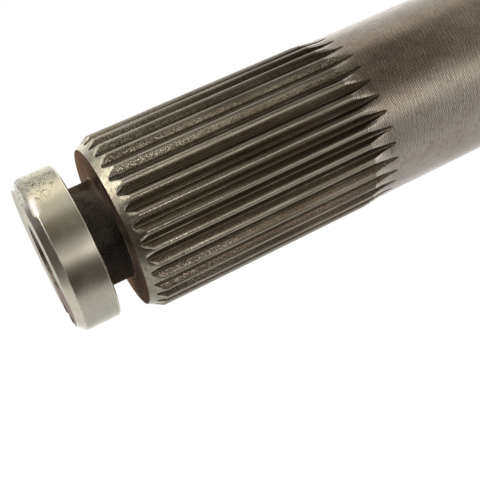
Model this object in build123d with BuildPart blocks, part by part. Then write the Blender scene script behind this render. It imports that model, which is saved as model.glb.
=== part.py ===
from build123d import *
import math
import os

# Inner end of a drive shaft that a C-clip holds inside its side gear. One steel bar is turned
# to a button head, a clip groove and a shank, and an involute spline is hobbed between them.
# The shaft stands on its plain end. The origin is the centre of that face, and +Z runs up the
# axis to the head.

# Driving dimensions, in millimetres and degrees

# Spline, cut to a 24/48 diametral pitch
tooth_count = 33
module = 25.4 / 24
pressure_angle = 45
spline_length = 49.3  # from the spline's face to where the teeth lose their full height
lead_length = 2.9  # the chamfer that leads the gear on
lead_angle = 30  # from the axis
hob_radius = 35.0  # its arc lifts each groove out of the bar
run_out_start = 1.0  # how far before the end of the full teeth that arc begins

# Button head and the groove for the clip
head_length = 8.4
head_clearance = 1.18  # each side, so that the head passes through the gear's toothed bore
head_chamfer = 1.45
head_rim_break = 0.25
clip_groove_width = 5.7
neck_radius = 10.2
neck_fillet = 0.8

# Centre hole in the head, on which the bar was turned
centre_mouth_radius = 7.2
centre_cone_angle = 60  # included
pilot_radius = 2.5
pilot_depth = 6.0
drill_point_angle = 118

# Plain shank
shank_relief = 0.45  # how far the shank lies under the tooth tips
taper_length = 3.8  # from the tooth tips down to the shank
shank_length = 112.8
end_chamfer = 1.5

# Radii that follow
pitch_radius = module * tooth_count / 2
base_radius = pitch_radius * math.cos(math.radians(pressure_angle))
major_radius = pitch_radius + module / 2
root_radius = pitch_radius - module / 2
shank_radius = major_radius - shank_relief
face_radius = major_radius - lead_length * math.tan(math.radians(lead_angle))
head_radius = root_radius - head_clearance

# Heights that follow, from the plain end up
teeth_end_z = shank_length + taper_length
face_z = teeth_end_z + spline_length
head_z = face_z + clip_groove_width
top_z = head_z + head_length
run_out_z = teeth_end_z + run_out_start
centre_cone_depth = (centre_mouth_radius - pilot_radius) / math.tan(
    math.radians(centre_cone_angle / 2)
)
pilot_floor_z = top_z - centre_cone_depth - pilot_depth
pilot_tip_depth = pilot_radius / math.tan(math.radians(drill_point_angle / 2))


def involute(angle):
    return math.tan(angle) - angle


def space_half_angle(radius):
    # Half of the space between two teeth, seen from the axis, in radians.
    at_pitch = math.pi / (2 * tooth_count)
    turn = involute(math.acos(base_radius / radius))
    return at_pitch + turn - involute(math.radians(pressure_angle))


def flank_point(radius, side):
    angle = side * space_half_angle(radius)
    return (radius * math.cos(angle), radius * math.sin(angle))


# Hob's track: one tooth space, straight along the spline, then round the hob's own arc
flank_steps = 4
swing = 30  # degrees of the hob's turn, enough to leave the bar
over_run = 1.0  # the track starts above the face and stands outside the bar by this

flank_radii = [
    root_radius + (major_radius - root_radius) * step / flank_steps
    for step in range(flank_steps + 1)
]
tip_angle = space_half_angle(major_radius)
outer_radius = major_radius + over_run
outer_x = outer_radius * math.cos(tip_angle)
outer_y = outer_radius * math.sin(tip_angle)

with BuildPart() as tooth_space:
    with BuildSketch(Plane.XY.offset(run_out_z)) as space_profile:
        with BuildLine():
            left = Spline([flank_point(radius, 1) for radius in flank_radii])
            right = Spline([flank_point(radius, -1) for radius in flank_radii])
            RadiusArc(right @ 0, left @ 0, root_radius)
            Polyline(left @ 1, (outer_x, outer_y), (outer_x, -outer_y), right @ 1)
        make_face()
    extrude(amount=face_z - run_out_z + over_run)
    hob_spindle = Axis((root_radius + hob_radius, 0, run_out_z), (0, 1, 0))
    revolve(space_profile.sketch, axis=hob_spindle, revolution_arc=-swing)

# Whole shaft: the turned bar less one track for each tooth space
with BuildPart() as splined_shaft:
    with BuildSketch(Plane.XZ) as half_section:
        with BuildLine():
            Polyline(
                (0, 0),
                (shank_radius - end_chamfer, 0),
                (shank_radius, end_chamfer),
                (shank_radius, shank_length),
                (major_radius, teeth_end_z),
                (major_radius, face_z - lead_length),
                (face_radius, face_z),
                (neck_radius, face_z),
                (neck_radius, head_z),
                (head_radius - head_rim_break, head_z),
                (head_radius, head_z + head_rim_break),
                (head_radius, top_z - head_chamfer),
                (head_radius - head_chamfer, top_z),
                (centre_mouth_radius, top_z),
                (pilot_radius, top_z - centre_cone_depth),
                (pilot_radius, pilot_floor_z),
                (0, pilot_floor_z - pilot_tip_depth),
                close=True,
            )
        make_face()
        groove_corners = half_section.vertices().filter_by(
            lambda corner: abs(corner.X - neck_radius) < 1e-6
        )
        fillet(groove_corners, neck_fillet)
    revolve(axis=Axis.Z)
    with PolarLocations(0, tooth_count):
        add(tooth_space.part, mode=Mode.SUBTRACT)

splined_shaft.part.label = "splined_shaft"
os.makedirs("parts", exist_ok=True)
export_step(splined_shaft.part, "parts/splined_shaft.step")
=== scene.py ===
"""Looks of a splined drive shaft end: turned head, dark neck, hobbed teeth and ground shank."""

import math

import bmesh
import bpy
from mathutils import Matrix, Vector, noise


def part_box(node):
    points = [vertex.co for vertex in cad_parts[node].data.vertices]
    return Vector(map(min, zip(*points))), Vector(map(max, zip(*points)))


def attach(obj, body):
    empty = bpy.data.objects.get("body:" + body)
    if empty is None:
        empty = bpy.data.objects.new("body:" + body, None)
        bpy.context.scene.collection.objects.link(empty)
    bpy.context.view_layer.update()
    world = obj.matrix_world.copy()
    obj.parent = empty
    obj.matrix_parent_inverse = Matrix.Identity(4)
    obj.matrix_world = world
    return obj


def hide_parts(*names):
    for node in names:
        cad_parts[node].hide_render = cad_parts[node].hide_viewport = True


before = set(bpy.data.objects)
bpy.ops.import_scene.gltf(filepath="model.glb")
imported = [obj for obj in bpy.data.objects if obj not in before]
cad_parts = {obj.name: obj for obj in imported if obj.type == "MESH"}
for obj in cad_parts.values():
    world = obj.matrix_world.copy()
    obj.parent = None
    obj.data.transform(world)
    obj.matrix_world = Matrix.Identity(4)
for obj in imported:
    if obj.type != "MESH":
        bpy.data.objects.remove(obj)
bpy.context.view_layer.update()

# --- Camera ---------------------------------------------------------------------------------
# It stands in front of the upper half of the shaft and a little above the head, and is rolled
# so that the head points down to the left. The lens is plain, with no shift.
mm = 0.001
low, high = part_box("splined_shaft")
top = high.z

camera_data = bpy.data.cameras.new("camera")
camera_data.lens = 67.48
camera_data.sensor_width = 36
camera_data.clip_start = 0.01
camera = bpy.data.objects.new("camera", camera_data)
camera.location = (-7.95 * mm, -173.98 * mm, top + 9.81 * mm)
camera.rotation_euler = [math.radians(angle) for angle in (-58.7, 60.451, -150.469)]
bpy.context.scene.collection.objects.link(camera)
bpy.context.scene.camera = camera

# --- The turned bar -------------------------------------------------------------------------
# One steel bar, turned between centres: centre hole, button head, clip groove and neck, the
# blank for the spline with its lead chamfer and taper, and the shank down to its plain end.
tooth_count = 33
module = 25.4 / 24 * mm
pressure_angle = math.radians(45)
pitch_radius = module * tooth_count / 2
base_radius = pitch_radius * math.cos(pressure_angle)
tip_radius = pitch_radius + module / 2
root_radius = pitch_radius - module / 2
hob_radius = 35 * mm

head_radius = root_radius - 1.18 * mm
head_length = 8.4 * mm
head_chamfer = 1.45 * mm
rim_break = 0.25 * mm
sharp_edge = 0.12 * mm
neck_radius = 10.2 * mm
neck_fillet = 0.8 * mm
groove_width = 5.7 * mm
mouth_radius = 7.2 * mm
pilot_radius = 2.5 * mm
pilot_depth = 6 * mm
cone_depth = (mouth_radius - pilot_radius) / math.tan(math.radians(30))
pilot_point = pilot_radius / math.tan(math.radians(59))

lead_length = 2.9 * mm
lead_slope = math.tan(math.radians(30))
spline_length = 49.3 * mm
taper_length = 3.8 * mm
shank_radius = tip_radius - 0.45 * mm
end_chamfer = 1.5 * mm

cone_end = top - cone_depth
hole_end = cone_end - pilot_depth
head_back = top - head_length
face = head_back - groove_width
face_radius = tip_radius - lead_length * lead_slope
teeth_end = face - spline_length
taper_end = teeth_end - taper_length
run_out_start = teeth_end + 1 * mm


def root_rise(z):
    """How far the hob has lifted the bottom of a tooth space above its root at height z."""
    drop = max(0, run_out_start - z)
    return hob_radius - math.sqrt(hob_radius**2 - drop**2)


tip_drop = math.sqrt(hob_radius**2 - (hob_radius - (shank_radius - root_radius)) ** 2)
front_tip = face - (root_radius - face_radius) / lead_slope
rear_tip = run_out_start - tip_drop

outline = []


def between(start, end, steps):
    """Points as radius and height in even steps from start up to end, which isn't among them."""
    shares = [step / steps for step in range(steps)]
    return [tuple(a + (b - a) * share for a, b in zip(start, end)) for share in shares]


def cut(skin, steps, start, end):
    """Adds a straight stretch of the outline, with the finish that its tool leaves."""
    outline.extend((r, z, skin) for r, z in between(start, end, steps))


def fillet(skin, steps, z, start, end):
    """Adds an arc of one of the neck's corners, from one angle to another in degrees."""
    for step in range(steps):
        angle = math.radians(start + (end - start) * step / steps)
        r = neck_radius + neck_fillet + neck_fillet * math.cos(angle)
        outline.append((r, z + neck_fillet * math.sin(angle), skin))


chamfer_steps = 5
rounding_steps = 6
side_steps = 20


def head_rows(width):
    """The chamfer, its rounded edge and the side of the head, for one width of that rounding."""
    start = (head_radius - head_chamfer - sharp_edge, top)
    corner = (head_radius, top - head_chamfer)
    before = (corner[0] - width * 0.7071, corner[1] + width * 0.7071)
    after = (corner[0], corner[1] - width)
    rows = between(start, before, chamfer_steps)
    for step in range(rounding_steps):
        t = step / rounding_steps
        curve = zip(before, corner, after)
        rows.append(tuple((1 - t) ** 2 * a + 2 * t * (1 - t) * b + t**2 * c for a, b, c in curve))
    return rows + between(after, (head_radius, head_back + rim_break), side_steps)


cut("hole", 2, (0, hole_end - pilot_point), (pilot_radius, hole_end))
cut("hole", 3, (pilot_radius, hole_end), (pilot_radius, cone_end))
cut("hole", 6, (pilot_radius, cone_end), (mouth_radius - sharp_edge, top - sharp_edge))
cut("end", 1, (mouth_radius - sharp_edge, top - sharp_edge), (mouth_radius + sharp_edge, top))
cut("end", 7, (mouth_radius + sharp_edge, top), (head_radius - head_chamfer - sharp_edge, top))
head_start = len(outline)
head_skins = ["chamfer"] * chamfer_steps + ["rim"] * rounding_steps + ["head"] * side_steps
outline += [(r, z, skin) for (r, z), skin in zip(head_rows(sharp_edge), head_skins)]
cut("chip", 1, (head_radius, head_back + rim_break), (head_radius - rim_break, head_back))
cut("neck", 4, (head_radius - rim_break, head_back), (neck_radius + neck_fillet, head_back))
fillet("neck", 4, head_back - neck_fillet, 90, 180)
cut("neck", 5, (neck_radius, head_back - neck_fillet), (neck_radius, face + neck_fillet))
fillet("neck", 3, face + neck_fillet, 180, 225)
fillet("shoulder", 3, face + neck_fillet, 225, 270)
cut("shoulder", 4, (neck_radius + neck_fillet, face), (face_radius, face))
cut("lead", 3, (face_radius, face), (root_radius, front_tip))
cut("lead", 6, (root_radius, front_tip), (tip_radius, face - lead_length))
cut("teeth", 14, (tip_radius, face - lead_length), (tip_radius, teeth_end))
cut("shank", 14, (tip_radius, teeth_end), (shank_radius, taper_end))
cut("shank", 8, (shank_radius, taper_end), (shank_radius, rear_tip))
cut("shank", 18, (shank_radius, rear_tip), (shank_radius, end_chamfer))
cut("shank", 1, (shank_radius, end_chamfer), (shank_radius - end_chamfer, 0))
cut("base", 4, (shank_radius - end_chamfer, 0), (0, 0))
outline.append((0, 0, "base"))

tooth_columns = 14
half_columns = 7
pitch_angle = 2 * math.pi / tooth_count

shaft_mesh = bpy.data.meshes.new("splined_shaft_finish")
bm = bmesh.new()
row_layer = bm.verts.layers.int.new("row")
chain = []
for row, (r, z, skin) in enumerate(outline):
    vertex = bm.verts.new((r, 0, z))
    vertex[row_layer] = row
    chain.append(vertex)
chain += [bm.edges.new(pair) for pair in zip(chain, chain[1:])]
axis = (0, 0, 1)
bmesh.ops.spin(bm, geom=chain, cent=(0, 0, 0), axis=axis, angle=pitch_angle, steps=tooth_columns)
wedge = bm.verts[:] + bm.edges[:] + bm.faces[:]
for tooth in range(1, tooth_count):
    copy = bmesh.ops.duplicate(bm, geom=wedge)["geom"]
    vertices = [item for item in copy if isinstance(item, bmesh.types.BMVert)]
    turned = Matrix.Rotation(tooth * pitch_angle, 3, "Z")
    bmesh.ops.rotate(bm, verts=vertices, cent=(0, 0, 0), matrix=turned)
bmesh.ops.remove_doubles(bm, verts=bm.verts, dist=1e-7)

# --- The tooth spaces -----------------------------------------------------------------------
# The hob sinks 33 grooves with involute flanks into the blank, and runs out of it on its own
# arc. Each space with a half tooth on both sides takes fourteen columns of the bar's mesh.
half_pitch = math.pi / tooth_count
edge_break = 0.24 * mm
tip_round = 0.16 * mm


def involute(angle):
    return math.tan(angle) - angle


def space_angle(radius):
    """Half the angle of a tooth space at a radius."""
    turn = involute(math.acos(base_radius / radius)) - involute(pressure_angle)
    return half_pitch / 2 + turn


def flank_point(radius, rise):
    """The flank at a radius, lifted by rise, as an angle from the space's middle and a radius."""
    half = space_angle(radius)
    x, y = radius * math.cos(half) + rise, radius * math.sin(half)
    return math.atan2(y, x), math.hypot(x, y)


def space_section(surface, rise):
    """Eight points as angle and radius, from the middle of a space to the middle of a tooth."""
    depth = surface - root_radius - rise
    if depth <= 1e-9:
        return [(0, surface)] * half_columns + [(half_pitch, surface)]
    flank_top, beyond = root_radius, tip_radius * 1.05
    for _ in range(40):
        middle = (flank_top + beyond) / 2
        if flank_point(middle, rise)[1] < surface:
            flank_top = middle
        else:
            beyond = middle
    worn = min(edge_break, depth / 3)
    section = [(0, root_radius + rise)]
    for share in (0, 0.25, 0.5, 0.75, 1):
        radius = root_radius + (flank_top - worn - root_radius) * share
        section.append(flank_point(radius, rise))
    brink = flank_point(flank_top, rise)[0]
    section.append((brink + 0.4 * (half_pitch - brink), surface - 0.13 * worn))
    point = min(1, depth / tip_round)
    narrow = math.sqrt(1 - (1 - point) ** 2)
    section = [(angle * narrow, radius) for angle, radius in section]
    section.append((half_pitch, surface))
    return section


full_section = space_section(tip_radius, 0)
sections = []
for r, z, skin in outline:
    if rear_tip - 1e-9 <= z <= front_tip + 1e-9 and r > face_radius:
        sections.append(space_section(r, root_rise(z)))
    else:
        sections.append([(angle, r) for angle, radius in full_section])

column_of = {}
for vertex in bm.verts:
    x, y, z = vertex.co
    column = round(math.atan2(y, x) / pitch_angle * tooth_columns) % (tooth_columns * tooth_count)
    column_of[vertex] = column
    tooth, node = divmod(column, tooth_columns)
    side = 1
    if node > half_columns:
        tooth, node, side = tooth + 1, tooth_columns - node, -1
    angle, radius = sections[vertex[row_layer]][node]
    angle = angle * side + tooth * pitch_angle
    vertex.co = (radius * math.cos(angle), radius * math.sin(angle), z)


# --- The struck head ------------------------------------------------------------------------
# The head has been struck: one side of its front edge is beaten round and dented, and the rim
# of the end face opposite has two nicks. Angles run from +X towards +Y.
def near_angle(vertex, middle, half, soft):
    """One within half of an angle in degrees, easing to nought over the soft degrees beyond."""
    angle = math.degrees(math.atan2(vertex.co.y, vertex.co.x))
    away = abs((angle - middle + 180) % 360 - 180)
    share = min(1, max(0, (half + soft - away) / soft))
    return share * share * (3 - 2 * share)


most_rounding = 0.75 * mm
most_dent = 0.3 * mm
dent_reach = 3.2 * mm
nick_rows = 4

for vertex in bm.verts:
    row = vertex[row_layer] - head_start
    if not -2 <= row < len(head_skins):
        continue
    beaten = near_angle(vertex, -24, 38, 6)
    place = Vector(vertex.co)
    if row >= 0 and beaten > 0:
        ripple = 1 + 0.25 * noise.noise(place * 260)
        r, z = head_rows(sharp_edge + most_rounding * beaten * ripple)[row]
        lumps = max(0, noise.noise(place * 620 + Vector((3, 1, 7))))
        depth = max(0, 1 - abs(z - top + head_chamfer) / dent_reach)
        dent = near_angle(vertex, -12, 26, 12) * lumps * most_dent * depth
        angle = math.atan2(vertex.co.y, vertex.co.x)
        vertex.co = ((r - dent) * math.cos(angle), (r - dent) * math.sin(angle), z - dent * 0.5)
    nicked = max(near_angle(vertex, 149, 3, 4), near_angle(vertex, 169, 2, 4))
    if nicked and row < nick_rows:
        nick = nicked * (0.35 + 0.3 * noise.noise(place * 900)) * mm
        nick *= 1 - abs(row) / nick_rows
        vertex.co.z -= nick
        vertex.co.x *= 1 - nick / head_radius
        vertex.co.y *= 1 - nick / head_radius

skins = [
    "hole", "end", "chamfer", "rim", "head", "neck",
    "shoulder", "lead", "teeth", "shank", "base", "chip",
]
flank_columns = 5
crease = math.radians(16)


def from_space(vertex):
    """How many columns a vertex is from the middle of its tooth space."""
    column = column_of[vertex] % tooth_columns
    return min(column, tooth_columns - column)


for f in bm.faces:
    f.smooth = True
    skin = outline[min(v[row_layer] for v in f.verts)][2]
    z = sum(v.co.z for v in f.verts) / len(f.verts)
    if rear_tip < z < front_tip and skin in ("lead", "shank"):
        furthest = max(from_space(v) for v in f.verts)
        if furthest <= flank_columns:
            skin = "teeth"
        elif furthest == flank_columns + 1 and skin == "lead":
            skin = "chip"
    f.material_index = skins.index(skin)
bmesh.ops.remove_doubles(bm, verts=bm.verts, dist=1e-7)
bmesh.ops.recalc_face_normals(bm, faces=bm.faces)
tooth_skins = [skins.index("teeth"), skins.index("chip")]
for e in bm.edges:
    sides = [f.material_index for f in e.link_faces]
    rounded = all(side in tooth_skins for side in sides)
    if len(sides) == 2 and not rounded and e.calc_face_angle(0) > crease:
        e.smooth = False
bm.to_mesh(shaft_mesh)
bm.free()
shaft = bpy.data.objects.new("splined_shaft_finish", shaft_mesh)
bpy.context.scene.collection.objects.link(shaft)

# --- Finishes of the steel ------------------------------------------------------------------
# Ground and turned steel, with what its life left on it: dull oxide in the tooth spaces and on
# the neck, bright rubbed edges, faint stains. The tool marks run round the bar as on a lathe.
# Each mask lies round a point of the bar, at an angle from +X towards +Y.
def add(tree, kind, sockets=None, **settings):
    """Adds a shader node, sets its settings, and links or fills its sockets."""
    made = tree.nodes.new("ShaderNode" + kind)
    for name, value in settings.items():
        setattr(made, name, value)
    for name, value in (sockets or {}).items():
        if isinstance(value, bpy.types.NodeSocket):
            tree.links.new(value, made.inputs[name])
        else:
            made.inputs[name].default_value = value
    return made


def calc(tree, operation, *values):
    """One step of arithmetic on a value that changes over the surface."""
    return add(tree, "Math", dict(enumerate(values)), operation=operation).outputs[0]


def times(tree, *masks):
    """Masks and numbers multiplied together."""
    product = masks[0]
    for mask in masks[1:]:
        product = calc(tree, "MULTIPLY", product, mask)
    return product


def ramp(tree, value, start, end, low=0.0, high=1.0):
    """Eases from low to high while the value goes from start to end."""
    sockets = {"Value": value, "From Min": start, "From Max": end, "To Min": low, "To Max": high}
    return add(tree, "MapRange", sockets, interpolation_type="SMOOTHSTEP").outputs["Result"]


def spread(tree, mask, low, high):
    """Turns a mask into values from low, where it is nought, to high, where it is one."""
    return ramp(tree, mask, 0, 1, low, high)


def mix(tree, share, first, second):
    """A share of the second value with the rest from the first."""
    return add(tree, "Mix", {0: share, 2: first, 3: second}).outputs[0]


def blend(tree, share, below, above):
    """Lays one colour over another by a mask."""
    ends = [c if isinstance(c, bpy.types.NodeSocket) else (*c, 1) for c in (below, above)]
    return add(tree, "Mix", {0: share, 6: ends[0], 7: ends[1]}, data_type="RGBA").outputs[2]


def place_on(tree):
    """A place on the bar as x, y and z."""
    return add(tree, "SeparateXYZ", {0: add(tree, "TexCoord").outputs["Object"]}).outputs


def from_axis(tree, place):
    """How far a place is from the bar's axis."""
    across = add(tree, "CombineXYZ", {0: place[0], 1: place[1]}).outputs[0]
    return add(tree, "VectorMath", {0: across}, operation="LENGTH").outputs["Value"]


def group(name, inputs, outputs):
    """A node group with number inputs and named outputs; gives its tree and its two ends."""
    tree = bpy.data.node_groups.new(name, "ShaderNodeTree")
    for socket, value in inputs.items():
        made = tree.interface.new_socket(socket, in_out="INPUT", socket_type="NodeSocketFloat")
        made.default_value = value
    for socket in outputs:
        tree.interface.new_socket(socket, in_out="OUTPUT", socket_type="NodeSocketFloat")
    given = tree.nodes.new("NodeGroupInput").outputs
    return tree, given, tree.nodes.new("NodeGroupOutput").inputs


# Tool marks: even lines that wind round the bar. Turns is how many of them cross a turn of it,
# and Rise how many radians of them pass in a metre along it. Each line wavers, and comes and
# goes a little. On a flat end they are rings, because the run also grows with the radius.
marks, given, made = group("tool_marks", {"Turns": 0, "Rise": 14000}, ["Line"])
place = place_on(marks)
run = calc(marks, "ADD", place[2], times(marks, from_axis(marks, place), 1.7))
turn = calc(marks, "ARCTAN2", place[1], place[0])
phase = calc(marks, "ADD", times(marks, turn, given["Turns"]), times(marks, run, given["Rise"]))
where = add(marks, "TexCoord").outputs["Object"]
sway = add(marks, "TexNoise", {"Vector": where, "Scale": 260, "Detail": 2}).outputs["Fac"]
phase = calc(marks, "ADD", phase, times(marks, sway, 14))
depth = add(marks, "TexNoise", {"Vector": where, "Scale": 900, "Detail": 2}).outputs["Fac"]
line = times(marks, calc(marks, "SINE", phase), ramp(marks, depth, 0.36, 0.66, 0.04, 0.56))
marks.links.new(calc(marks, "ADD", line, 0.5), made["Line"])

# Clouds: stains and dull patches of any size, drawn out along the bar where Stretch is under
# one. Cloud is soft, and Fleck is finer and harder.
clouds, given, made = group("clouds", {"Size": 150, "Stretch": 1, "Seed": 0}, ["Cloud", "Fleck"])
along = times(clouds, given["Size"], given["Stretch"])
scale = add(clouds, "CombineXYZ", {0: given["Size"], 1: given["Size"], 2: along}).outputs[0]
where = add(clouds, "TexCoord").outputs["Object"]
where = add(clouds, "VectorMath", {0: where, 1: scale}, operation="MULTIPLY").outputs[0]
for name, detail, roughness, start in (("Cloud", 4, 0.6, 0.38), ("Fleck", 6, 0.75, 0.5)):
    sockets = {
        "Vector": where,
        "W": given["Seed"],
        "Scale": 1,
        "Detail": detail,
        "Roughness": roughness,
    }
    drift = add(clouds, "TexNoise", sockets, noise_dimensions="4D").outputs["Fac"]
    clouds.links.new(ramp(clouds, drift, start, 0.62), made[name])


def steel(name, tone):
    """Starts one finish, a plain steel shader; gives its tree and its shader."""
    material = bpy.data.materials.new(name)
    material.use_nodes = True
    material.diffuse_color = (*tone, 1)
    tree = material.node_tree
    shader = tree.nodes["Principled BSDF"]
    shader.inputs["Metallic"].default_value = 1
    shader.inputs["Base Color"].default_value = (*tone, 1)
    shaft_mesh.materials.append(material)
    return tree, shader


def brushed(tree, shader, amount):
    """Draws the gloss out across tool marks that run round the shaft."""
    shader.inputs["Anisotropic"].default_value = amount
    shader.inputs["Anisotropic Rotation"].default_value = 0.25
    tangent = add(tree, "Tangent", direction_type="RADIAL", axis="Z")
    tree.links.new(tangent.outputs[0], shader.inputs["Tangent"])


def tint(shader, colour):
    """The colour that the steel takes where it is seen at a low angle."""
    shader.inputs["Specular Tint"].default_value = (*colour, 1)


def use(tree, group_tree, **values):
    """Places a node group in a finish with its own values."""
    placed = tree.nodes.new("ShaderNodeGroup")
    placed.node_tree = group_tree
    for socket, value in values.items():
        placed.inputs[socket].default_value = value
    return placed.outputs


def wire(tree, shader, colour, roughness, height, depth):
    """Joins colour, roughness and relief to the steel shader; depth is the relief in metres."""
    tree.links.new(colour, shader.inputs["Base Color"])
    tree.links.new(roughness, shader.inputs["Roughness"])
    bump = add(tree, "Bump", {"Strength": 1, "Distance": depth, "Height": height}).outputs[0]
    tree.links.new(bump, shader.inputs["Normal"])


# The centre hole keeps dark oxide and grease from the lathe's centre.
tree, shader = steel("hole", (0.06, 0.04, 0.03))
cloud = use(tree, clouds, Size=500)
lines = use(tree, marks, Rise=12000)
colour = blend(tree, cloud["Cloud"], (0.075, 0.062, 0.05), (0.165, 0.14, 0.118))
wire(tree, shader, colour, spread(tree, cloud["Fleck"], 0.45, 0.6), lines["Line"], 0.01 * mm)


def near(tree, angle, radius, inner, outer, height=top):
    """A mask round a point at an angle, radius and height: one up to inner, nought past outer."""
    turn = math.radians(angle)
    point = (radius * math.cos(turn), radius * math.sin(turn), height)
    where = add(tree, "TexCoord").outputs["Object"]
    away = add(tree, "VectorMath", {0: where, 1: point}, operation="DISTANCE").outputs["Value"]
    return ramp(tree, away, inner, outer, 1.0, 0.0)


# The end face is turned bright. On its nicked side a ragged patch is painted dim and brownish as
# painted shade, standing in for a darker reflection, with a few pits in it; each nick is painted
# dark as its shadow.
tree, shader = steel("end", (0.6, 0.57, 0.5))
cloud = use(tree, clouds, Size=420)
lines = use(tree, marks, Rise=16000)
ragged = use(tree, clouds, Size=760, Seed=15)
pits = use(tree, clouds, Size=2200, Seed=6)
# Painted shade: a ragged patch darkened in place of a dimmer reflection of the end face.
painted_dim_patch = near(tree, 178, 11 * mm, 4 * mm, 14.5 * mm)
painted_dim_patch = ramp(tree, calc(tree, "MULTIPLY_ADD", ragged["Fleck"], 0.4, painted_dim_patch), 0.35, 0.8)
# Painted shadow: the nicks are darkened as if in shade.
nicked = near(tree, 150, 13.6 * mm, 1 * mm, 4.4 * mm)
nicked = calc(tree, "MAXIMUM", nicked, near(tree, 169, 13.6 * mm, 0.5 * mm, 3.6 * mm))
nicked = ramp(tree, calc(tree, "MULTIPLY_ADD", ragged["Cloud"], 0.75, nicked), 0.85, 1.15)
pitted = times(tree, pits["Fleck"], spread(tree, painted_dim_patch, 0.1, 0.4))
dark = calc(tree, "MAXIMUM", nicked, pitted)
colour = blend(tree, cloud["Cloud"], (0.52, 0.5, 0.43), (0.7, 0.68, 0.6))
painted_dim_tone = blend(tree, cloud["Cloud"], (0.215, 0.178, 0.16), (0.265, 0.222, 0.203))
colour = blend(tree, painted_dim_patch, colour, painted_dim_tone)
colour = blend(tree, dark, colour, (0.045, 0.037, 0.028))
wire(tree, shader, colour, spread(tree, cloud["Fleck"], 0.36, 0.5), lines["Line"], 0.006 * mm)
bare = spread(tree, calc(tree, "MAXIMUM", dark, painted_dim_patch), 1.0, 0.0)
tree.links.new(bare, shader.inputs["Metallic"])
shader.inputs["Specular IOR Level"].default_value = 0
tint(shader, (0.74, 0.72, 0.66))
brushed(tree, shader, 0.3)

# The head's chamfer is turned smooth, painted grey as painted shade beside its beaten edge, and
# scuffed where it was struck.
tree, shader = steel("chamfer", (0.5, 0.475, 0.41))
cloud = use(tree, clouds, Size=300)
lines = use(tree, marks, Turns=2, Rise=19000)
scuff = use(tree, clouds, Size=1500, Seed=2)
# Painted shade: greys the chamfer beside the beaten edge.
greyed_shade = near(tree, -55, 15 * mm, 5 * mm, 10 * mm)
struck = near(tree, -22, 15 * mm, 5.5 * mm, 9.5 * mm)
scuffed = times(tree, ramp(tree, scuff["Fleck"], 0.2, 0.75), struck)
colour = blend(tree, cloud["Cloud"], (0.5, 0.465, 0.39), (0.6, 0.555, 0.465))
colour = blend(tree, greyed_shade, colour, (0.17, 0.155, 0.138))
colour = blend(tree, struck, colour, (0.6, 0.59, 0.52))
colour = blend(tree, scuffed, colour, (0.15, 0.125, 0.09))
wire(tree, shader, colour, spread(tree, cloud["Fleck"], 0.34, 0.42), lines["Line"], 0.004 * mm)
brushed(tree, shader, 0.4)

# The rounded edge of the head is rubbed bright, with a painted highlight whitening it on the
# beaten side, and scuffed like its neighbours where it was struck.
tree, shader = steel("rim", (0.7, 0.66, 0.6))
cloud = use(tree, clouds, Size=700)
scuff = use(tree, clouds, Size=1500, Seed=2)
# Painted highlight: whitens the rounded edge on the beaten side, on top of its rubbed wear.
rubbed_highlight = near(tree, -62, head_radius, 3.5 * mm, 9 * mm)
struck = near(tree, -20, head_radius, 7.2 * mm, 9.5 * mm)
scuffed = times(tree, ramp(tree, scuff["Fleck"], 0.2, 0.75), struck)
colour = blend(tree, cloud["Cloud"], (0.38, 0.36, 0.31), (0.52, 0.5, 0.43))
colour = blend(tree, rubbed_highlight, colour, (0.49, 0.455, 0.415))
colour = blend(tree, struck, colour, (0.3, 0.285, 0.225))
colour = blend(tree, scuffed, colour, (0.12, 0.1, 0.075))
wire(tree, shader, colour, spread(tree, cloud["Fleck"], 0.34, 0.46), scuff["Cloud"], 0.01 * mm)

# The head's side is turned bright and polished with a belt: fine lines cross all over it, and
# most in the band where the strip lamp's highlight falls, which is painted darker as painted
# shade. A painted highlight brightens its back edge. On the side that was struck it has a straw
# tint and dark scuffs.
tree, shader = steel("head", (0.44, 0.42, 0.36))
cloud = use(tree, clouds, Size=130)
patch = use(tree, clouds, Size=420, Seed=13)
scuff = use(tree, clouds, Size=1500, Seed=2)
lines = use(tree, marks, Turns=4, Rise=18500)
crossed = use(tree, marks, Turns=242, Rise=7986)
# Painted shade: darkens the band where the strip lamp's highlight falls; the hatch is strongest
# there.
belt_band_shade = near(tree, -98, head_radius, 4 * mm, 9 * mm)
both = mix(tree, spread(tree, belt_band_shade, 0.15, 0.5), lines["Line"], crossed["Line"])
strength = spread(tree, patch["Cloud"], 0.3, 1.4)
both = calc(tree, "MULTIPLY_ADD", calc(tree, "SUBTRACT", both, 0.5), strength, 0.5)
straw = near(tree, -48, head_radius, 5 * mm, 12 * mm)
struck = near(tree, -20, head_radius, 4 * mm, 11 * mm)
specked = near(tree, -30, head_radius, 5.5 * mm, 11 * mm)
# Painted highlight: a thin bright line along the back edge.
back_edge_highlight = ramp(tree, place_on(tree)[2], head_back + 0.42 * mm, head_back + 0.34 * mm)
lined = times(tree, ramp(tree, both, 0.3, 0.7), spread(tree, belt_band_shade, 0.47, 0.62))
scuffed = times(tree, ramp(tree, scuff["Fleck"], 0.2, 0.65), specked)
colour = blend(tree, cloud["Cloud"], (0.43, 0.41, 0.36), (0.5, 0.475, 0.405))
colour = blend(tree, times(tree, patch["Fleck"], 0.3), colour, (0.34, 0.32, 0.27))
colour = blend(tree, straw, colour, (0.49, 0.455, 0.33))
colour = blend(tree, belt_band_shade, colour, (0.35, 0.325, 0.275))
colour = blend(tree, struck, colour, (0.46, 0.45, 0.35))
colour = blend(tree, lined, colour, (0.18, 0.165, 0.137))
colour = blend(tree, scuffed, colour, (0.1, 0.08, 0.05))
colour = blend(tree, back_edge_highlight, colour, (0.68, 0.64, 0.54))
rough = calc(tree, "ADD", spread(tree, cloud["Fleck"], 0.37, 0.43), times(tree, back_edge_highlight, 0.15))
wire(tree, shader, colour, rough, both, 0.006 * mm)
tint(shader, (0.88, 0.88, 0.84))
brushed(tree, shader, 0.6)
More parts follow.
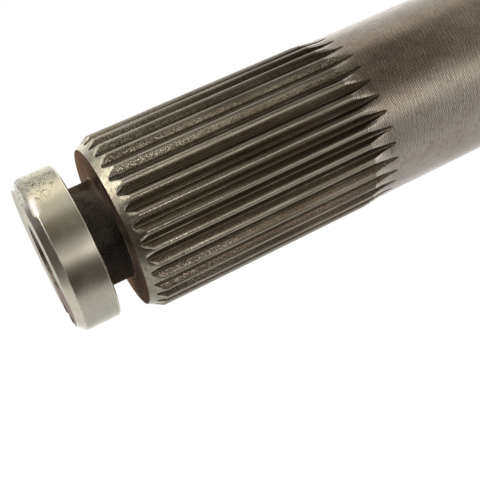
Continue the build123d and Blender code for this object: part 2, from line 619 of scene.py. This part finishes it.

# The neck is black with oxide, with a fine grain. Painted shade darkens it further on one side.
tree, shader = steel("neck", (0.04, 0.036, 0.035))
cloud = use(tree, clouds, Size=200)
grit = use(tree, clouds, Size=3600, Seed=3)
# Painted shade: darkens one side of the neck.
shaded_side = near(tree, -130, neck_radius, 6 * mm, 15 * mm, face)
colour = blend(tree, cloud["Cloud"], (0.026, 0.022, 0.018), (0.098, 0.084, 0.07))
colour = blend(tree, times(tree, shaded_side, 0.75), colour, (0.016, 0.013, 0.011))
colour = blend(tree, ramp(tree, grit["Cloud"], 0.4, 0.9, 0, 0.2), colour, (0.15, 0.13, 0.115))
wire(tree, shader, colour, spread(tree, cloud["Cloud"], 0.5, 0.6), grit["Cloud"], 0.02 * mm)
tint(shader, (0.45, 0.39, 0.35))

# The shoulder in front of the teeth is brown with oxide and redder towards its rim. Painted
# shade makes it nearly black on one side, and less metallic there.
tree, shader = steel("shoulder", (0.08, 0.062, 0.052))
cloud = use(tree, clouds, Size=330, Seed=4)
grit = use(tree, clouds, Size=2200, Seed=3)
lines = use(tree, marks, Turns=130, Rise=2500)
radius = from_axis(tree, place_on(tree))
outer = ramp(tree, radius, neck_radius + 1.5 * mm, neck_radius + 4 * mm)
# Painted shade: darkens one side of the shoulder and makes it less metallic there.
shaded_side = near(tree, -165, face_radius, 7 * mm, 17 * mm, face)
colour = blend(tree, cloud["Cloud"], (0.2, 0.152, 0.128), (0.47, 0.365, 0.3))
colour = blend(tree, times(tree, outer, 0.7), colour, (0.2, 0.135, 0.097))
colour = blend(tree, times(tree, shaded_side, 0.8), colour, (0.052, 0.032, 0.023))
colour = blend(tree, ramp(tree, lines["Line"], 0.45, 0.8, 0, 0.6), colour, (0.06, 0.035, 0.025))
colour = blend(tree, ramp(tree, grit["Cloud"], 0.4, 0.9, 0, 0.5), colour, (0.26, 0.2, 0.165))
wire(tree, shader, colour, spread(tree, cloud["Cloud"], 0.44, 0.56), lines["Line"], 0.006 * mm)
tree.links.new(spread(tree, shaded_side, 1.0, 0.2), shader.inputs["Metallic"])
shader.inputs["Specular IOR Level"].default_value = 0
tint(shader, (0.45, 0.34, 0.27))

# The lead chamfer is turned bright, with fine scratches and a few dark specks. Painted shade
# darkens it on the far side and greys one spot, and a painted highlight brightens the struck side.
tree, shader = steel("lead", (0.55, 0.52, 0.44))
cloud = use(tree, clouds, Size=300)
lines = use(tree, marks, Turns=220, Rise=2500)
pits = use(tree, clouds, Size=2000, Seed=8)
# Painted shade: darkens the far side of the lead.
far_side_shade = near(tree, -150, face_radius, 12 * mm, 22 * mm, face)
# Painted highlight: brightens the struck side of the lead.
bright = near(tree, -26, face_radius, 3 * mm, 8 * mm, face)
# Painted shade: greys one spot between.
greyed_shade = near(tree, -46, face_radius, 1.4 * mm, 4.8 * mm, face)
specked = times(tree, ramp(tree, pits["Fleck"], 0.2, 0.7), 0.75)
colour = blend(tree, cloud["Cloud"], (0.26, 0.24, 0.185), (0.42, 0.39, 0.315))
colour = blend(tree, times(tree, far_side_shade, 0.5), colour, (0.18, 0.165, 0.13))
colour = blend(tree, bright, colour, (0.48, 0.45, 0.37))
colour = blend(tree, greyed_shade, colour, (0.23, 0.225, 0.175))
colour = blend(tree, specked, colour, (0.13, 0.095, 0.065))
colour = blend(tree, ramp(tree, lines["Line"], 0.5, 0.9, 0, 0.45), colour, (0.15, 0.13, 0.1))
wire(tree, shader, colour, spread(tree, cloud["Fleck"], 0.3, 0.4), lines["Line"], 0.006 * mm)
tint(shader, (0.82, 0.83, 0.8))
brushed(tree, shader, 0.5)

# The teeth have flanks of dull steel with a fine grain, most of it near the front, and shown
# bright in two strips along the bar where it would catch the lamps, as painted glints; they have
# dark oxide at their feet and towards the run-outs. Their lands are the ground bar, dulled, and a
# bright line in one corner of each space is a painted highlight.
tree, shader = steel("teeth", (0.12, 0.1, 0.08))
cloud = use(tree, clouds, Size=200, Stretch=0.3)
grain = use(tree, clouds, Size=5000, Stretch=0.7, Seed=5)
rust = use(tree, clouds, Size=90, Stretch=0.5, Seed=11)
streak = use(tree, clouds, Size=1500, Stretch=0.05, Seed=9)
place = place_on(tree)
radius = from_axis(tree, place)
turn = calc(tree, "ARCTAN2", place[1], place[0])
pitch = times(tree, turn, tooth_count / (2 * math.pi))
front = ramp(tree, place[2], face - 30 * mm, face - 5 * mm)
rear = ramp(tree, place[2], face - 36 * mm, face - 52 * mm)
foot = ramp(tree, radius, root_radius + 0.3 * mm, root_radius + 0.05 * mm)

away = calc(tree, "ABSOLUTE", calc(tree, "ADD", pitch, 9))
# Painted glints: the grain shows bright mostly in two strips where it would catch the lamps.
glint_strips = times(tree, ramp(tree, away, 1.5, 3.5, 0.25, 1.0), ramp(tree, away, 5, 7, 1.0, 0.3))
coarse = spread(tree, cloud["Cloud"], 0.6, 1)
coarse = times(tree, coarse, spread(tree, front, 0.35, 0.9), glint_strips)
grains = times(tree, ramp(tree, grain["Cloud"], 0.5, 0.85), coarse)
pocks = times(tree, ramp(tree, grain["Cloud"], 0.5, 0.15), coarse)
bright = blend(tree, ramp(tree, pitch, -12, -10), (0.36, 0.3, 0.27), (0.5, 0.475, 0.385))
flank = blend(tree, cloud["Cloud"], (0.072, 0.058, 0.037), (0.118, 0.1, 0.069))
flank = blend(tree, times(tree, rust["Cloud"], 0.45), flank, (0.13, 0.092, 0.07))
flank = blend(tree, times(tree, pocks, 0.6), flank, (0.03, 0.023, 0.015))
flank = blend(tree, times(tree, rear, 0.8), flank, (0.038, 0.028, 0.018))
flank = blend(tree, grains, flank, bright)
flank = blend(tree, times(tree, foot, 0.8), flank, (0.045, 0.034, 0.022))

land = blend(tree, streak["Cloud"], (0.19, 0.17, 0.134), (0.3, 0.275, 0.224))
land = blend(tree, times(tree, grains, 0.4), land, (0.45, 0.42, 0.36))
wander = spread(tree, streak["Cloud"], -0.05 * mm, 0.05 * mm)
wavered = calc(tree, "ADD", radius, wander)
rubbed = ramp(tree, wavered, tip_radius - 0.38 * mm, tip_radius - 0.02 * mm)
# Painted highlight: a thin bright line in one corner of each space.
across = calc(tree, "FRACT", calc(tree, "ADD", pitch, 1.5))
corner = calc(tree, "ABSOLUTE", calc(tree, "SUBTRACT", across, 0.44))
root_highlight = ramp(tree, corner, 0.022, 0.008)
root_highlight = times(tree, root_highlight, spread(tree, cloud["Fleck"], 0.25, 0.75))
colour = blend(tree, rubbed, flank, land)
colour = blend(tree, root_highlight, colour, (0.5, 0.46, 0.36))

rough = calc(tree, "MULTIPLY_ADD", foot, 0.2, spread(tree, grains, 0.37, 0.28))
worn = times(tree, spread(tree, grain["Cloud"], -0.17, 0.06), ramp(tree, front, 0.5, 0.9))
rough = calc(tree, "MULTIPLY_ADD", rubbed, worn, rough)
relief = times(tree, grain["Cloud"], spread(tree, coarse, 0.3, 1))
wire(tree, shader, colour, rough, relief, 0.022 * mm)


def facing(tree, turn, angle, inner, outer):
    """A mask along one side of the bar: one within inner radians of an angle, nought past outer."""
    away = calc(tree, "ABSOLUTE", calc(tree, "SUBTRACT", turn, math.radians(angle)))
    return ramp(tree, away, inner, outer, 1.0, 0.0)


# The shank and the taper are belt ground, with sets of lines that cross, drawn darkest on the side
# where the dark card and the strip lamp reflect, as painted contrast. The band where the dark card
# reflects is painted browner and blotted, partly rust and partly painted into that reflection; the
# taper is painted bright as a painted highlight; and rust flecks, stains and pits lie all round.
tree, shader = steel("shank", (0.28, 0.26, 0.225))
cloud = use(tree, clouds, Size=70)
stain = use(tree, clouds, Size=600, Stretch=0.6, Seed=7)
rust = use(tree, clouds, Size=110, Stretch=0.6, Seed=12)
blots = use(tree, clouds, Size=260, Stretch=0.6, Seed=21)
pits = use(tree, clouds, Size=1100, Seed=22)
lines = use(tree, marks, Turns=212, Rise=6996)
crossed = use(tree, marks, Turns=34, Rise=-13770)
coarse = use(tree, marks, Turns=-22, Rise=-7400)
both = mix(tree, 0.58, lines["Line"], crossed["Line"])
both = mix(tree, 0.24, both, coarse["Line"])
place = place_on(tree)
turn = calc(tree, "ARCTAN2", place[1], place[0])
# Painted reflection and shade: browns and blots the band where a dark card reflects, partly rust.
browned_dark_reflection = facing(tree, turn, -66, 0.2, 0.6)
# Painted contrast: the dark lines are drawn strongest where the dark card and strip lamp reflect.
line_contrast_band = facing(tree, turn, -84, 0.35, 0.9)
# Painted highlight: brightens the taper next to the teeth.
taper_highlight = ramp(tree, place[2], taper_end - 1 * mm, teeth_end + 0.5 * mm)
blotted_dark_reflection = times(tree, blots["Cloud"], browned_dark_reflection, 0.7)
pitted = times(tree, ramp(tree, pits["Fleck"], 0.5, 0.95), 0.5)
lined = times(tree, ramp(tree, both, 0.3, 0.7), spread(tree, line_contrast_band, 0.5, 0.95))
colour = blend(tree, cloud["Cloud"], (0.322, 0.284, 0.24), (0.37, 0.342, 0.3))
colour = blend(tree, browned_dark_reflection, colour, (0.4, 0.33, 0.25))
colour = blend(tree, blotted_dark_reflection, colour, (0.26, 0.198, 0.15))
colour = blend(tree, taper_highlight, colour, (0.6, 0.56, 0.48))
colour = blend(tree, times(tree, rust["Fleck"], 0.4), colour, (0.25, 0.192, 0.15))
colour = blend(tree, times(tree, stain["Fleck"], 0.4), colour, (0.19, 0.155, 0.125))
colour = blend(tree, pitted, colour, (0.12, 0.09, 0.07))
colour = blend(tree, lined, colour, (0.145, 0.122, 0.1))
wire(tree, shader, colour, spread(tree, cloud["Fleck"], 0.34, 0.4), both, 0.026 * mm)
brushed(tree, shader, 0.5)

# The plain end is faced off.
tree, shader = steel("base", (0.3, 0.28, 0.25))
cloud = use(tree, clouds, Size=120)
lines = use(tree, marks, Rise=9000)
colour = blend(tree, cloud["Cloud"], (0.24, 0.22, 0.19), (0.34, 0.32, 0.28))
wire(tree, shader, colour, spread(tree, cloud["Fleck"], 0.35, 0.45), lines["Line"], 0.01 * mm)
brushed(tree, shader, 0.5)

# The edges of the teeth are rubbed bright.
tree, shader = steel("chip", (0.45, 0.42, 0.36))
cloud = use(tree, clouds, Size=900, Stretch=0.1)
colour = blend(tree, cloud["Cloud"], (0.22, 0.2, 0.16), (0.42, 0.395, 0.33))
wire(tree, shader, colour, spread(tree, cloud["Fleck"], 0.3, 0.45), cloud["Cloud"], 0.02 * mm)

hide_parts("splined_shaft")
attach(shaft, "root")

# --- Floor and light ------------------------------------------------------------------------
# A white room. The shaft stands on a small white floor, dark cards stand close round it for its
# dark reflections, and soft lamps give it the bright ones. Angles run from the camera's side.
world = bpy.data.worlds.new("world")
world.use_nodes = True
world.node_tree.nodes["Background"].inputs["Color"].default_value = (1, 1, 1, 1)
world.node_tree.nodes["Background"].inputs["Strength"].default_value = 1
bpy.context.scene.world = world
bpy.context.scene.view_settings.view_transform = "Standard"

floor_radius = 75 * mm
floor_mesh = bpy.data.meshes.new("floor")
bm = bmesh.new()
bmesh.ops.create_circle(bm, cap_ends=True, segments=96, radius=floor_radius)
bm.to_mesh(floor_mesh)
bm.free()
chalk = bpy.data.materials.new("floor")
chalk.use_nodes = True
tree = chalk.node_tree
shader = tree.nodes["Principled BSDF"]
shader.inputs["Base Color"].default_value = (0.9, 0.9, 0.9, 1)
shader.inputs["Roughness"].default_value = 1
where = add(tree, "TexCoord").outputs["Object"]
away = add(tree, "VectorMath", {0: where}, operation="LENGTH").outputs["Value"]
faded = ramp(tree, away, 35 * mm, floor_radius - 1 * mm, 1.0, 0.0)
tree.links.new(faded, shader.inputs["Alpha"])
floor_mesh.materials.append(chalk)
floor = bpy.data.objects.new("floor", floor_mesh)
bpy.context.scene.collection.objects.link(floor)

camera_side = math.degrees(math.atan2(camera.location.y, camera.location.x))
card_distance = 130 * mm


def round_shaft(start, end, bottom, top_edge):
    """The place of a curved card that stands round the shaft between two angles and two heights."""
    def point(across, up):
        angle = math.radians(camera_side + start + (end - start) * across)
        height = (bottom + (top_edge - bottom) * up) * mm
        return card_distance * math.cos(angle), card_distance * math.sin(angle), height
    return point


def overhead(middle, angle, width, depth, height):
    """The place of a level card above the head, its middle set off from the axis at an angle."""
    turn = math.radians(camera_side + angle)

    def point(across, up):
        out, side = middle + depth * (up - 0.5), width * (across - 0.5)
        x = out * math.cos(turn) - side * math.sin(turn)
        y = out * math.sin(turn) + side * math.cos(turn)
        return x * mm, y * mm, height * mm
    return point


def card(name, tone, points):
    """A dark card with a soft edge; points gives a place for each share of its two sides."""
    mesh = bpy.data.meshes.new(name)
    bm = bmesh.new()
    bm.loops.layers.uv.new("card")
    bmesh.ops.create_grid(bm, x_segments=24, y_segments=8, size=0.5, calc_uvs=True)
    for vertex in bm.verts:
        vertex.co = points(vertex.co.x + 0.5, vertex.co.y + 0.5)
    bm.to_mesh(mesh)
    bm.free()
    material = bpy.data.materials.new(name)
    material.use_nodes = True
    tree = material.node_tree
    tree.nodes.clear()
    place = add(tree, "SeparateXYZ", {0: add(tree, "TexCoord").outputs["UV"]}).outputs
    edges = []
    for axis in (0, 1):
        middle = calc(tree, "ABSOLUTE", calc(tree, "SUBTRACT", place[axis], 0.5))
        edges.append(ramp(tree, middle, 0.5, 0.3))
    clear = add(tree, "BsdfTransparent").outputs[0]
    dye = (tone, tone * 0.83, tone * 0.6, 1)
    cloth = add(tree, "Emission", {"Color": dye, "Strength": 1}).outputs[0]
    mixed = add(tree, "MixShader", {0: times(tree, *edges), 1: clear, 2: cloth}).outputs[0]
    tree.links.new(mixed, add(tree, "OutputMaterial").inputs["Surface"])
    mesh.materials.append(material)
    made = bpy.data.objects.new(name, mesh)
    made.visible_camera = False
    made.visible_diffuse = False
    bpy.context.scene.collection.objects.link(made)


def lamp(name, angle, height, distance, width, length, brightness, colour):
    """A soft lamp that faces the middle of the teeth; brightness is that of its face."""
    data = bpy.data.lights.new(name, "AREA")
    data.shape = "RECTANGLE"
    data.size = width * mm
    data.size_y = length * mm
    data.energy = brightness * math.pi * data.size * data.size_y
    data.color = colour
    made = bpy.data.objects.new(name, data)
    turn = math.radians(camera_side + angle)
    out = distance * mm
    made.location = (out * math.cos(turn), out * math.sin(turn), height * mm)
    aim = Vector((0, 0, 160 * mm)) - made.location
    made.rotation_euler = aim.to_track_quat("-Z", "Y").to_euler()
    made.visible_camera = False
    bpy.context.scene.collection.objects.link(made)


card("left_card", 0.1, round_shaft(-72, -14, 40, 330))
card("right_low_card", 0.05, round_shaft(-2, 85, 0, 130))
card("right_card", 0.18, round_shaft(4, 50, 110, 270))
card("high_card", 0.03, round_shaft(-60, 25, 230, 420))
card("overhead_card", 0.05, overhead(15, 20, 170, 170, 330))
lamp("key_lamp", 58, 390, 270, 190, 170, 3.8, (1, 0.96, 0.86))
lamp("side_lamp", 88, 240, 300, 150, 260, 1.8, (1, 0.95, 0.84))
lamp("strip_lamp", -12.5, 70, 170, 46, 300, 0.7, (1, 0.94, 0.86))
lamp("glint_lamp", -13, 126, 165, 34, 26, 7.5, (1, 0.96, 0.9))
lamp("right_rim_lamp", 150, 60, 320, 200, 460, 0.85, (1, 0.99, 0.96))
lamp("left_rim_lamp", -155, 60, 320, 160, 460, 0.4, (0.97, 0.99, 1))
